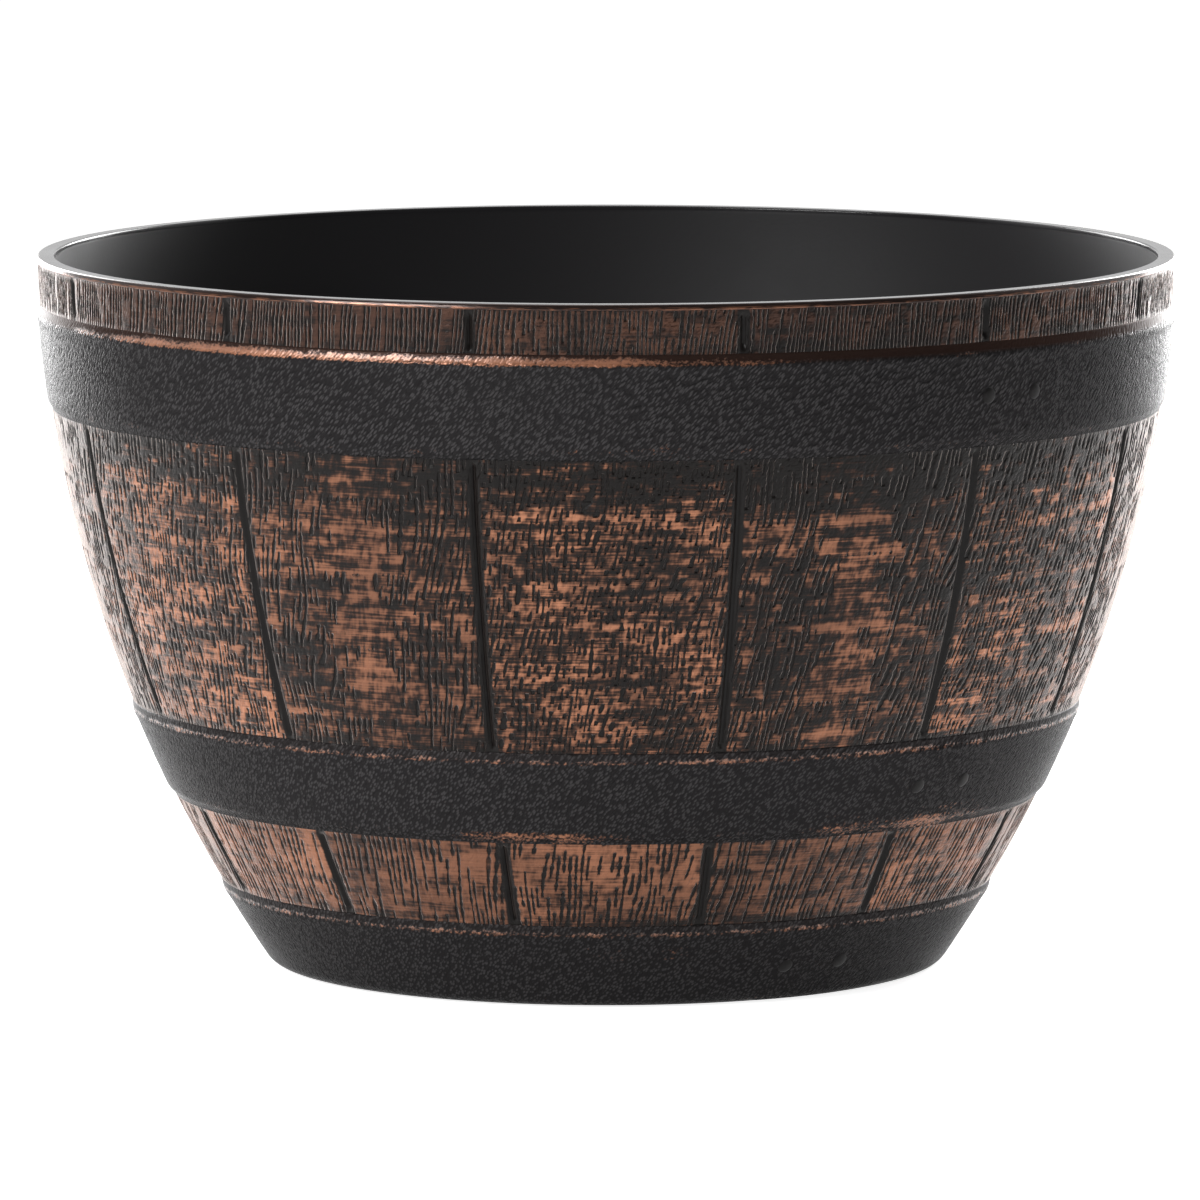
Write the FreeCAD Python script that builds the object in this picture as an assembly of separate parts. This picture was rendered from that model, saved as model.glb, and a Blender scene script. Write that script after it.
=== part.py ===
import FreeCAD, Part
import math
import os

# Half barrel planter: one resin moulding in the shape of a sawn-off barrel, with
# rubber plugs in its drain holes. Millimetres, +Z up, origin under the middle of the
# foot, -Y towards the viewer.

# Tub
RIM_DIAMETER = 400.0        # over the lip
HEIGHT = 250.0
BASE_DIAMETER = 233.0       # of the stave faces where they would meet the ground
SIDE_RADIUS = 467.0         # of the arc that the stave faces follow from ground to rim
WALL = 6.0                  # square to the stave face
FLOOR = 5.0                 # thickness
FLOOR_FILLET = 10.0         # inside, between floor and wall
ROUND_FLATS = 2             # flats that stand for each small round of the section
WALL_FLATS = 4              # flats that the inside wall is drawn with, from floor to mouth

# Lip
LIP_PROUD = 0.5             # beyond the stave faces
LIP_HEIGHT = 3.2
LIP_ROUND = 2.2             # of its outer edge
MOUTH_BEVEL = 1.0           # of its inner edge

# Foot
FOOT_ROUND = 8.0            # outer corner of the base
FOOT_WIDTH = 10.0           # of the ring that stands on the ground
FOOT_RECESS = 8.0           # from the ground up to the underside of the floor
FOOT_DRAFT = 0.6            # how much the recess narrows on its way up

# Hoops: straight bands from the ridge along the upper edge to the corner above the lower bevel
HOOP_PROUD = 1.0            # beyond the stave faces
HOOP_RAMP = 3.5             # height of the slope from the staves up to the ridge
HOOP_BEVEL = 2.8            # height of the bevel under a hoop
TOP_HOOP_DROP = 20.5        # from the rim down to the top hoop's ridge
TOP_HOOP_WIDTH = 30.0
MIDDLE_HOOP_LOW = 63.8      # height of the middle hoop's lower corner
MIDDLE_HOOP_WIDTH = 26.7
BASE_HOOP_RIDGE = 27.0      # height of the base hoop's ridge; the hoop runs into the foot

# Staves
STAVE_COUNT = 13
STAVE_SPREAD = 1.9          # degrees; staves at the front are a little narrower than behind
JOINT_WIDTH = 2.0           # of the V groove between two staves
JOINT_DEPTH = 1.0
JOINT_END = 1.2             # plain strip left between a groove's end and the hoop or lip

# Drains
DRAIN_COUNT = 4
DRAIN_CIRCLE = 136.0        # diameter of the circle of hole centres
RIB_THICKNESS = 3.0         # of the ribs under the floor, between the drains
RIB_HEIGHT = 4.0            # below the floor
RIB_BEDDING = 1.0           # how far a rib runs into the floor

# Plugs
PLUG_HEAD_DIAMETER = 22.0
PLUG_HEAD_THICKNESS = 2.2
PLUG_STEM_DIAMETER = 14.0
PLUG_STEM_REACH = 2.0       # below the floor
GRIP_THICKNESS = 3.0        # of the tab that is pinched to pull the plug
GRIP_WIDTH = 14.0           # at its foot
GRIP_TOP_WIDTH = 9.0
GRIP_HEIGHT = 7.0
DRAIN_CLEARANCE = 0.1       # between stem and hole

Z_AXIS = FreeCAD.Vector(0, 0, 1)
ORIGIN = FreeCAD.Vector(0, 0, 0)


def point(r, z):
    """A point of the half section, in the XZ plane."""
    return FreeCAD.Vector(r, 0, z)


# Stave faces: one arc from the ground to the rim, with its centre beyond the axis
base_radius = BASE_DIAMETER / 2
rim_radius = RIM_DIAMETER / 2
stave_top_radius = rim_radius - LIP_PROUD
chord = point(stave_top_radius, HEIGHT) - point(base_radius, 0)
chord_middle = point(base_radius, 0) + chord / 2
arc_depth = math.sqrt(SIDE_RADIUS ** 2 - (chord.Length / 2) ** 2)
inward = FreeCAD.Vector(-chord.z, 0, chord.x).normalize()
ARC_CENTRE = chord_middle + inward * arc_depth

floor_top = FOOT_RECESS + FLOOR
lip_foot = HEIGHT - LIP_HEIGHT
top_ridge = HEIGHT - TOP_HOOP_DROP
top_corner = top_ridge - TOP_HOOP_WIDTH
middle_ridge = MIDDLE_HOOP_LOW + MIDDLE_HOOP_WIDTH

# Heights between which each band of staves shows
lower_band = (BASE_HOOP_RIDGE + HOOP_RAMP, MIDDLE_HOOP_LOW - HOOP_BEVEL)
middle_band = (middle_ridge + HOOP_RAMP, top_corner - HOOP_BEVEL)
upper_band = (top_ridge + HOOP_RAMP, lip_foot)


def on_side(offset, z):
    """The point at height z on the side arc, moved out from the stave faces by offset."""
    reach = SIDE_RADIUS + offset
    return point(ARC_CENTRE.x + math.sqrt(reach ** 2 - (z - ARC_CENTRE.z) ** 2), z)


def line(start, end):
    return Part.LineSegment(start, end).toShape()


def round_points(centre, radius, start, end):
    """Points round a corner of the section, from the direction start to the direction end."""
    turn = math.degrees(start.getAngle(end))
    axis = start.cross(end)
    points = []
    for step in range(ROUND_FLATS + 1):
        direction = FreeCAD.Rotation(axis, turn * step / ROUND_FLATS).multVec(start)
        points.append(centre + direction * radius)
    return points


def corner(offset, plane_z, radius):
    """Points round the corner between a level plane and the side arc, from the plane up."""
    centre_z = plane_z + radius
    reach = SIDE_RADIUS + offset - radius
    centre = point(ARC_CENTRE.x + math.sqrt(reach ** 2 - (centre_z - ARC_CENTRE.z) ** 2), centre_z)
    outward = (centre - ARC_CENTRE).normalize()
    return round_points(centre, radius, -Z_AXIS, outward)


def flats(points):
    """Straight edges from each point to the next."""
    return [line(start, end) for start, end in zip(points, points[1:])]


def around(shape, degrees):
    """A copy turned about the planter's axis."""
    turned = shape.copy()
    turned.rotate(ORIGIN, Z_AXIS, degrees)
    return turned


def front_angle(degrees):
    """Turns an angle from the front towards +X into one from +X about +Z."""
    return degrees - 90.0


def tub_section():
    """Closed half section of the tub: foot, hoops and staves, lip, inside wall, floor. Also
    returns the foot ring's inner radius."""
    foot = corner(HOOP_PROUD, 0, FOOT_ROUND)
    floor = corner(-WALL, floor_top, FLOOR_FILLET)
    foot_inner = foot[0] - point(FOOT_WIDTH, 0)
    recess_corner = point(foot_inner.x - FOOT_DRAFT, FOOT_RECESS)

    lip_low = point(rim_radius, lip_foot + LIP_PROUD)
    lip_centre = point(rim_radius - LIP_ROUND, HEIGHT - LIP_ROUND)
    lip = round_points(lip_centre, LIP_ROUND, point(1, 0), Z_AXIS)
    mouth = on_side(-WALL, HEIGHT - MOUTH_BEVEL)
    rim_inner = point(mouth.x + MOUTH_BEVEL, HEIGHT)

    edges = flats([foot_inner] + foot + [
        on_side(HOOP_PROUD, BASE_HOOP_RIDGE),
        on_side(0, lower_band[0]),
        on_side(0, lower_band[1]),
        on_side(HOOP_PROUD, MIDDLE_HOOP_LOW),
        on_side(HOOP_PROUD, middle_ridge),
        on_side(0, middle_band[0]),
    ])
    stave = [on_side(0, z) for z in (middle_band[0], sum(middle_band) / 2, middle_band[1])]
    edges.append(Part.Arc(*stave).toShape())
    edges += flats([
        stave[-1],
        on_side(HOOP_PROUD, top_corner),
        on_side(HOOP_PROUD, top_ridge),
        on_side(0, upper_band[0]),
        on_side(0, upper_band[1]),
        lip_low,
    ] + lip + [rim_inner, mouth])
    drop = (mouth.z - floor[-1].z) / WALL_FLATS
    edges += flats([on_side(-WALL, mouth.z - drop * step) for step in range(WALL_FLATS)] + floor[::-1])
    edges += flats([floor[0], point(0, floor_top), point(0, FOOT_RECESS), recess_corner, foot_inner])
    return Part.Face(Part.Wire(edges)), foot_inner.x


def joint_angles():
    """Angles of the joints between staves, from the front towards +X."""
    angles = []
    for index in range(STAVE_COUNT):
        even = (index + 0.5) * 360.0 / STAVE_COUNT
        angles.append(even - STAVE_SPREAD * math.sin(math.radians(even)))
    return angles


def joint_groove(z_low, z_high):
    """Cutter for one joint: a V that follows the stave faces, lying in the XZ plane. It stands
    as far out of the face as it cuts into it, so its width is right at the face."""
    start = on_side(0, z_low)
    outward = (start - ARC_CENTRE).normalize()
    across = FreeCAD.Vector(0, JOINT_WIDTH, 0)
    top = start + outward * JOINT_DEPTH
    outline = [start - outward * JOINT_DEPTH, top + across, top - across]
    section = Part.Face(Part.makePolygon(outline + outline[:1]))
    sweep = math.degrees(outward.getAngle(on_side(0, z_high) - ARC_CENTRE))
    return section.revolve(ARC_CENTRE, FreeCAD.Vector(0, -1, 0), sweep)


def joint_cutters():
    """All joints of the three bands of staves, each ending just short of its hoops."""
    cutters = []
    for z_low, z_high in (lower_band, middle_band, upper_band):
        groove = joint_groove(z_low + JOINT_END, z_high - JOINT_END)
        for angle in joint_angles():
            cutters.append(around(groove, front_angle(angle)))
    return cutters


def drain_places():
    """Axis points of the drain holes on the ground plane, with their angles."""
    places = []
    for index in range(DRAIN_COUNT):
        angle = 360.0 * index / DRAIN_COUNT
        spot = FreeCAD.Vector(DRAIN_CIRCLE / 2, 0, 0)
        places.append((FreeCAD.Rotation(Z_AXIS, angle).multVec(spot), angle))
    return places


def floor_ribs(foot_inner):
    """Ribs under the floor, from the middle out between the drains to the foot ring."""
    ribs = []
    for spot, angle in drain_places():
        corner_point = FreeCAD.Vector(0, -RIB_THICKNESS / 2, FOOT_RECESS - RIB_HEIGHT)
        rib = Part.makeBox(foot_inner, RIB_THICKNESS, RIB_HEIGHT + RIB_BEDDING, corner_point)
        ribs.append(around(rib, angle + 180.0 / DRAIN_COUNT))
    return ribs


def drain_cutters():
    """Holes through the floor."""
    hole_radius = PLUG_STEM_DIAMETER / 2 + DRAIN_CLEARANCE
    return [Part.makeCylinder(hole_radius, HEIGHT, spot) for spot, angle in drain_places()]


def tub():
    section, foot_inner = tub_section()
    body = section.revolve(ORIGIN, Z_AXIS, 360)
    body = body.fuse(floor_ribs(foot_inner))
    return body.cut(joint_cutters() + drain_cutters())


def drain_plug():
    """Rubber bung on the planter's axis, with a tab to pull it by."""
    head_radius = PLUG_HEAD_DIAMETER / 2
    head_top = floor_top + PLUG_HEAD_THICKNESS
    stem_radius = PLUG_STEM_DIAMETER / 2
    stem_low = FOOT_RECESS - PLUG_STEM_REACH
    head = Part.makeCylinder(head_radius, PLUG_HEAD_THICKNESS, point(0, floor_top))
    stem = Part.makeCylinder(stem_radius, head_top - stem_low, point(0, stem_low))
    half_foot = point(GRIP_WIDTH / 2, 0)
    half_top = point(GRIP_TOP_WIDTH / 2, 0)
    low = FreeCAD.Vector(0, -GRIP_THICKNESS / 2, head_top)
    high = low + Z_AXIS * GRIP_HEIGHT
    outline = [low - half_foot, low + half_foot, high + half_top, high - half_top]
    tab = Part.Face(Part.makePolygon(outline + outline[:1]))
    return head.fuse([stem, tab.extrude(FreeCAD.Vector(0, GRIP_THICKNESS, 0))])


def write(node, shape):
    """Saves one piece, as the single solid that it has to be."""
    solid = shape.removeSplitter().Solids[0]
    solid.exportStep("parts/" + node + ".step")
    print(node, len(shape.Solids), "solid", solid.isValid(), round(solid.Volume), "mm3")


os.makedirs("parts", exist_ok=True)
write("barrel_shell", tub())
plug = drain_plug()
for number, (spot, angle) in enumerate(drain_places(), start=1):
    placed = around(plug, angle)
    placed.translate(spot)
    write("drain_plug_%d" % number, placed)
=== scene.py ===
import math

import bmesh
import bpy
from mathutils import Matrix, Vector


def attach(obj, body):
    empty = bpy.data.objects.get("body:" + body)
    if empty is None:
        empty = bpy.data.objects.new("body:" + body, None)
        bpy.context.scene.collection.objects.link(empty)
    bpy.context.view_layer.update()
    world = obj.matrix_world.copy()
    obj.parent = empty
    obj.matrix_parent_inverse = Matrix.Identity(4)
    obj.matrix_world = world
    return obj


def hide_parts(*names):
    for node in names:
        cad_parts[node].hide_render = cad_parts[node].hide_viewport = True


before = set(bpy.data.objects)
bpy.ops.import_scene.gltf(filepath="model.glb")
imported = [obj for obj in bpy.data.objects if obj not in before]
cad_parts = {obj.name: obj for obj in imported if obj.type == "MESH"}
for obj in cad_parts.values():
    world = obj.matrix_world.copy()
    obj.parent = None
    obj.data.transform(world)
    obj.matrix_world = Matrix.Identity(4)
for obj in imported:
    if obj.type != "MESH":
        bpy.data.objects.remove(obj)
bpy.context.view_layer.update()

# Half barrel planter: black resin with copper brushed over its wood grain. Sizes are in
# millimetres, and angles in degrees from the front towards the viewer's right, where a
# comment doesn't say otherwise. A pair of numbers is where something starts and is complete.
MM = 0.001
DEGREE = math.pi / 180

# Side arc of the stave faces
BASE_RADIUS = 116.5
RIM_RADIUS = 199.8
STAVE_TOP_RADIUS = 199.5
HEIGHT = 250.0
SIDE_RADIUS = 467.0
WALL = 6.0
BACK_DEPTH = 3.2  # how deep the hidden back of an outside piece lies in the wall

# Staves and the hoops between them, by height
STAVE_COUNT = 13
STAVE_ANGLE = 360 / STAVE_COUNT
STAVE_SPREAD = 1.9  # how far the joints at the sides lie towards the front
UNDERLAP = 0.4  # how far the staves run in under a hoop
HOOP_PROUD = 1.0
LIP_FOOT = 248.0
TOP_HOOP = (196.7, 199.5, 229.5, 233.0)  # bevel foot, corner, ridge, ramp foot
MIDDLE_HOOP = (61.0, 63.8, 90.5, 94.0)
BASE_HOOP_RIDGE = 27.0
BASE_HOOP_RAMP = 30.5

# Soft edges of the hoops: how far past each of the four levels they reach
HOOP_EASE = (-0.2, 0.4, -0.6, 0.3)
PEBBLE_EASE = (0.5, 1.0, -1.5, -0.5)
BEAD = 0.25  # height of the bead along a ridge
BASE_BEAD = 0.2
BEAD_DROP = 1.2  # how far under the ridge the bead lies
BEAD_WIDTH = 1.5

# Foot and floor
FOOT_ROUND = 8.0
FOOT_WIDTH = 10.0
FOOT_PEBBLES = (-1.4, -1.0)  # on the foot's round, in radians
FLOOR_LOW = 8.0
FLOOR_TOP = 13.0
FLOOR_FILLET = 10.0
FLOOR_TUCK = 0.4  # how far the floor's underside runs into the foot ring
BASE_BACK_LOW = 16.0  # how far down the base hoop's hidden back follows the side arc
BASE_SHOULDER = (116.0, 11.5)  # radius and height where that back turns, under the floor fillet
FOOT_RING_INSIDE = (  # distance past the ring's inner edge, and height
    (-0.6, FLOOR_LOW + 1.0), (-0.6, FLOOR_LOW), (-0.3, 1.0), (0.0, 0.3), (0.6, 0.0))

# Lip and inside
LIP_LEAN = 0.25  # in radians
LIP_ROUND = 0.9
LIP_EDGE = 0.3  # height of the bevel at the foot of the lip
LIP_TUCK = 0.9  # how far the lip's underside reaches in over the staves
LIP_FLAT = (-0.5, 0.3)  # ends of its flat top, from its two rounds
MOUTH_ROUND = 0.7
WALL_TOP = HEIGHT - 1.6
INSIDE_BACK = BACK_DEPTH - 0.6  # the inside's hidden back overlaps those of the outside
INSIDE_BACK_LOW = 14.0
INSIDE_BACK_TOP = LIP_FOOT - 1.0
INSIDE_COLUMNS = 361

# Drains
DRAIN_COUNT = 4
DRAIN_CIRCLE_RADIUS = 68.0
DRAIN_HOLE_RADIUS = 7.1
CUTTER_LENGTH = 20.0
RIB_SIZE = (103.0, 3.0, 4.0)  # length, thickness, height below the floor
RIB_BEDDING = 1.0

# Copper paint and black resin, as linear colours
COPPER = (0.40, 0.174, 0.099, 1)
DULL_COPPER = (0.037, 0.0220, 0.0180, 1)
COPPER_SHEEN = (1.0, 0.86, 0.80, 1)
RESIN = (0.0066, 0.0053, 0.0049, 1)
# The next colour is a painted glint: the tops of the hoops' pebbles are coloured lighter in place
# of the highlights the lamps give them. The colour after it is the resin between those tops.
HOOP_PAINTED_GLINT = (0.0570, 0.0543, 0.0556, 1)
HOOP_VALLEY = (0.0220, 0.0209, 0.0215, 1)
HOOP_EDGE = (0.55, 0.55, 0.55, 1)
INSIDE_RESIN = (0.0185, 0.0176, 0.0190, 1)
RUBBER = (0.012, 0.012, 0.013, 1)
RUBBER_BLOOM = (0.024, 0.024, 0.026, 1)
FLOOR_WHITE = (0.92, 0.92, 0.92, 1)
WHITE = (1, 1, 1, 1)


def arc_centre():
    """Centre of the side arc, from its chord between ground and rim."""
    chord = Vector((STAVE_TOP_RADIUS - BASE_RADIUS, HEIGHT))
    middle = Vector((BASE_RADIUS, 0)) + chord / 2
    inward = Vector((-chord.y, chord.x)).normalized()
    return middle + inward * math.sqrt(SIDE_RADIUS ** 2 - (chord.length / 2) ** 2)


CENTRE = arc_centre()
GROUND_ANGLE = math.asin(-CENTRE.y / SIDE_RADIUS)


def along_at(z, offset=0.0):
    """Distance up the side arc from the ground to height z."""
    return SIDE_RADIUS * (math.asin((z - CENTRE.y) / (SIDE_RADIUS + offset)) - GROUND_ANGLE)


def side(along, offset=0.0, share=1.0):
    """A profile row on the side arc: radius, height, outward direction, place along, share of
    the relief."""
    angle = GROUND_ANGLE + along / SIDE_RADIUS
    out = Vector((math.cos(angle), math.sin(angle)))
    spot = CENTRE + out * (SIDE_RADIUS + offset)
    return (spot.x, spot.y, out.x, out.y, along, share)


def plain(radius, z):
    """A profile row without relief."""
    return (radius, z, 0.0, 0.0, 0.0, 0.0)


def spread(low, high, step):
    """Evenly spaced values from low to high, about step apart."""
    count = max(1, round(abs(high - low) / step))
    return [low + (high - low) * index / count for index in range(count + 1)]


def round_rows(centre, radius, start, end, step):
    """Profile rows without relief on a round, between two angles in radians."""
    return [plain(centre[0] + radius * math.cos(angle), centre[1] + radius * math.sin(angle))
            for angle in spread(start, end, step)]


def ease(value, low, high):
    """Smooth rise from 0 at low to 1 at high."""
    share = min(1.0, max(0.0, (value - low) / (high - low)))
    return share * share * (3 - 2 * share)


# Node helpers

class Flow:
    """A number that flows through a node tree. Arithmetic on it adds Math nodes."""

    def __init__(self, tree, socket):
        self.tree = tree
        self.socket = socket

    def math(self, operation, *others):
        node = self.tree.nodes.new("ShaderNodeMath")
        node.operation = operation
        for slot, value in zip(node.inputs, (self,) + others):
            feed(self.tree, slot, value)
        return Flow(self.tree, node.outputs[0])

    def __add__(self, other):
        return self.math("ADD", other)

    def __sub__(self, other):
        return self.math("SUBTRACT", other)

    def __mul__(self, other):
        return self.math("MULTIPLY", other)

    def __truediv__(self, other):
        return self.math("DIVIDE", other)

    __radd__ = __add__
    __rmul__ = __mul__

    def __rsub__(self, other):
        return self * -1.0 + other

    def size(self):
        return self.math("ABSOLUTE")

    def floor(self):
        return self.math("FLOOR")

    def rise(self, low, high):
        """Smooth step from 0 at low to 1 at high."""
        node = self.tree.nodes.new("ShaderNodeMapRange")
        node.interpolation_type = "SMOOTHSTEP"
        for slot, value in zip(node.inputs, (self, low, high)):
            feed(self.tree, slot, value)
        return Flow(self.tree, node.outputs[0])

    def fall(self, low, high):
        """Smooth step from 1 at low to 0 at high."""
        return 1.0 - self.rise(low, high)


def feed(tree, slot, value):
    """Sets an input to a plain value or links it to a flow or a socket."""
    if isinstance(value, Flow):
        tree.links.new(value.socket, slot)
    elif isinstance(value, bpy.types.NodeSocket):
        tree.links.new(value, slot)
    else:
        slot.default_value = value


def feed_all(tree, node, inputs):
    """Feeds the inputs of a node by name."""
    for key, value in inputs.items():
        feed(tree, node.inputs[key], value)


def add(tree, kind, inputs=None, **settings):
    """Adds a node, with its settings and its inputs by name."""
    node = tree.nodes.new(kind)
    for key, value in settings.items():
        setattr(node, key, value)
    feed_all(tree, node, inputs or {})
    return node


def vector(tree, x, y, z):
    node = tree.nodes.new("ShaderNodeCombineXYZ")
    for slot, value in zip(node.inputs, (x, y, z)):
        feed(tree, slot, value)
    return node.outputs[0]


def parts_of(tree, socket):
    """The three numbers of a vector."""
    node = add(tree, "ShaderNodeSeparateXYZ", {"Vector": socket})
    return [Flow(tree, slot) for slot in node.outputs]


NOISE_MEAN = 0.5


def noise(x, y, z, detail=0.0, roughness=0.5):
    """Smooth noise between 0 and 1, with features about one unit across."""
    tree = next(value.tree for value in (x, y, z) if isinstance(value, Flow))
    node = add(tree, "ShaderNodeTexNoise", {"Vector": vector(tree, x, y, z), "Scale": 1.0,
                                            "Detail": detail, "Roughness": roughness})
    return Flow(tree, node.outputs[0])


def mottle(spot, wide, tall, detail, roughness=0.5):
    """Noise in space, with marks about so wide and so tall."""
    x, y, z = spot
    return noise(x / wide, y / wide, z / tall, detail, roughness)


def bearing_of(x, y):
    """Angle round the axis."""
    return x.math("ARCTAN2", y * -1.0) / DEGREE


# Reliefs, each written once and used both for the shape and for the paint over it

class Band:
    """One band of staves: where it lies, and how its grain and its paint run."""

    def __init__(self, name, low, high, pitch, dash, level, slant, sway, cover, blotch, shine,
                 relief=0.9, fineness=0.0, flames=False, bare_top=0.0):
        self.name = name
        self.low = along_at(low)
        self.high = along_at(high)
        self.mean_radius = side((self.low + self.high) / 2)[0]
        self.pitch = pitch  # from one line of grain to the next
        self.dash = dash  # length of a dash in a line
        self.level = level  # the higher, the fewer dashes
        self.slant = slant  # sideways lean of the lines
        self.sway = sway  # how far the lines wander
        self.cover = cover  # share of copper
        self.blotch = blotch  # how much black breaks through the copper
        self.shine = shine  # how bright the copper is
        self.relief = relief  # how sharp the lines look
        self.fineness = fineness  # how much closer the lines of every second stave lie
        self.flames = flames  # whether every second stave has flame figures
        self.bare_top = bare_top  # how much copper is missing towards the top


UPPER = Band("upper", TOP_HOOP[3], LIP_FOOT, pitch=1.8, dash=11.0, level=0.34, slant=0.10,
             sway=3.2, cover=0.66, blotch=1.0, shine=0.13, relief=1.4, fineness=0.15)
MIDDLE = Band("middle", MIDDLE_HOOP[3], TOP_HOOP[0], pitch=2.2, dash=4.0, level=0.45, slant=0.17,
              sway=3.4, cover=0.53, blotch=1.0, shine=0.9, flames=True, bare_top=0.22)
LOWER = Band("lower", BASE_HOOP_RAMP, MIDDLE_HOOP[0], pitch=2.1, dash=13.0, level=0.44, slant=0.10,
             sway=2.4, cover=0.69, blotch=0.8, shine=0.68)

# Joints between the staves, measured from the joint's middle or the hoop's edge
JOINT_WIDTH = 2.8
JOINT_DEPTH = 1.25
JOINT_BOTTOM = 0.2
JOINT_END = 1.2
SHOULDER = (0.5, 4.5)
SHOULDER_DROP = 0.22

# Dashes of the grain, their widths as shares of the pitch
GRAIN_DEPTH = 0.30
GRAIN_FROM_HOOP = (0.0, 2.0)
GRAIN_FROM_JOINT = (0.8, 2.2)
DASH_WIDTH = 0.46
DASH_SIDE = (-0.10, 0.06)
DASH_END = 0.06  # softness of a dash's ends
DRAWN_OUT = 0.45  # how much the dashes of every second stave are drawn out
SWELL_LENGTH = 2.2  # from one swelling of a dash to the next
SEED_STEP = 7.31  # these move the noise on from stave to stave and from line to line
DASH_SEED_STEP = 3.7
SWELL_SEED_STEP = 5.3

# Flame figures on every second stave
TIER_HEIGHT = 27.0
TIER_SHIFT = 0.37  # of the tiers from stave to stave, as a share of their height
FLAME_FOOT = 18.0  # half the width of a figure's foot
FLAME_TAPER = 14.0
FLAME_RAGGED = 16.0
FLAME_SIDE = (-0.8, 1.2)
FLAME_START = (0.0, 0.06)  # as a share of the tier's height
FLAME_CALM = 0.9  # share of the dashes that a figure smooths away


class Grain:
    """Where a point lies on its stave, and the grain there."""

    def __init__(self, band, turn, along, radius):
        self.number = (turn / STAVE_ANGLE + 0.5).floor()
        self.odd = (self.number * 0.5).math("FRACT") * 2.0
        within = turn - self.number * STAVE_ANGLE
        self.across = within * (DEGREE * band.mean_radius)
        self.along = along
        self.edge = (STAVE_ANGLE / 2 - within.size()) * radius * DEGREE
        self.end = (along - band.low).math("MINIMUM", band.high - along)
        self.seed = self.number * SEED_STEP
        beyond = (JOINT_END + JOINT_WIDTH / 2 - self.end).math("MAXIMUM", 0.0)
        reach = (self.edge * self.edge + beyond * beyond).math("SQRT")
        self.joint = reach.fall(JOINT_BOTTOM, JOINT_WIDTH / 2 + JOINT_BOTTOM)
        self.shoulder = self.edge.fall(*SHOULDER)
        self.calm = self.flame(band) * self.odd if band.flames else 0.0
        self.dashes = self.lines(band) * (1.0 - self.calm * FLAME_CALM)

    def marks(self, wide, tall, seed, detail=0.0, roughness=0.5, slant=None):
        """Noise on the stave, with marks about so wide and so tall, upright or slanted."""
        across = self.across if slant is None else self.across - self.along * slant
        return noise(across / wide, self.along / tall, self.seed + seed, detail, roughness)

    def lines(self, band):
        """Recessed dashes in lines that run up the stave."""
        drift = self.marks(wide=12.0, tall=36.0, seed=3.0) * band.sway
        pitch = band.pitch * (1.0 - self.odd * band.fineness)
        line = (self.across - self.along * band.slant) / pitch + drift
        strand = line.floor()
        aside = (line - strand - 0.5).size()
        run = self.along * (1.0 - self.odd * DRAWN_OUT) / band.dash
        length = noise(strand * DASH_SEED_STEP, run, self.seed)
        swell = noise(strand * SWELL_SEED_STEP, self.along / SWELL_LENGTH, self.seed + 1.7)
        dash = (aside - swell * DASH_WIDTH).fall(*DASH_SIDE)
        return dash * length.rise(band.level, band.level + DASH_END)

    def flame(self, band):
        """Smooth pointed figures, one above the other, along the middle of a stave."""
        tier = ((self.along - band.low) / TIER_HEIGHT + self.number * TIER_SHIFT).math("FRACT")
        ragged = (self.marks(wide=1.6, tall=9.0, seed=9.0) - NOISE_MEAN) * FLAME_RAGGED
        inside = FLAME_FOOT - tier * FLAME_TAPER - self.across.size() + ragged
        return inside.rise(*FLAME_SIDE) * tier.rise(*FLAME_START)

    def height(self):
        """Relief in millimetres."""
        grain = self.dashes * GRAIN_DEPTH * self.end.rise(*GRAIN_FROM_HOOP)
        grain = grain * self.edge.rise(*GRAIN_FROM_JOINT)
        return self.joint * -JOINT_DEPTH - self.shoulder * SHOULDER_DROP - grain


class Hoop:
    """One hoop: the heights of its edges, the riveted lap of its strap, the copper on its ridge
    and the strokes on its face. A stroke is a bearing, a reach to both sides, a lowest and a
    highest level and a strength."""

    def __init__(self, name, low, high, lap_end, facing, rivets, ridge_copper, glaze, strokes):
        self.name = name
        self.low = low
        self.high = high
        self.lap_end = lap_end
        self.facing = facing  # which way the strap's end faces
        self.rivets = rivets
        self.ridge_copper = ridge_copper
        self.glaze = glaze  # how brown the ramp above the ridge is
        self.strokes = strokes
        self.mean_radius = side(along_at((low + high) / 2), HOOP_PROUD)[0]


# On the top hoop the first stroke, at the front left, is real copper rub made stronger and brighter
# where the key lamp's highlight falls on the ridge: partly a painted highlight.
TOP = Hoop("hoop_top", TOP_HOOP[1], TOP_HOOP[2], lap_end=51.0, facing=1, rivets=(40.9, 47.3),
           ridge_copper=0.20, glaze=1.0,
           strokes=[(-24, 54, 228.8, 233.4, 0.43), (72, 26, 229.8, 232.0, 0.08),
                    (140, 34, 229.8, 232.0, 0.26), (-122, 38, 229.8, 232.0, 0.26)])
WAIST = Hoop("hoop_middle", MIDDLE_HOOP[1], MIDDLE_HOOP[2], lap_end=54.4, facing=1,
             rivets=(41.5, 49.6), ridge_copper=0.30, glaze=0.1,
             strokes=[(-9.5, 14, 58.0, 66.0, 0.22), (42, 20, 58.0, 70.0, 0.20),
                      (118, 18, 58.0, 67.0, 0.32), (-98, 20, 58.0, 68.0, 0.30)])
BASE = Hoop("hoop_base", 0.0, BASE_HOOP_RIDGE, lap_end=22.8, facing=-1, rivets=(29.0, 39.4),
            ridge_copper=0.30, glaze=0.1,
            strokes=[(5, 13, 17.0, 24.0, 0.14), (95, 16, 15.0, 24.0, 0.22),
                     (-110, 14, 16.0, 24.0, 0.22)])

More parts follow.
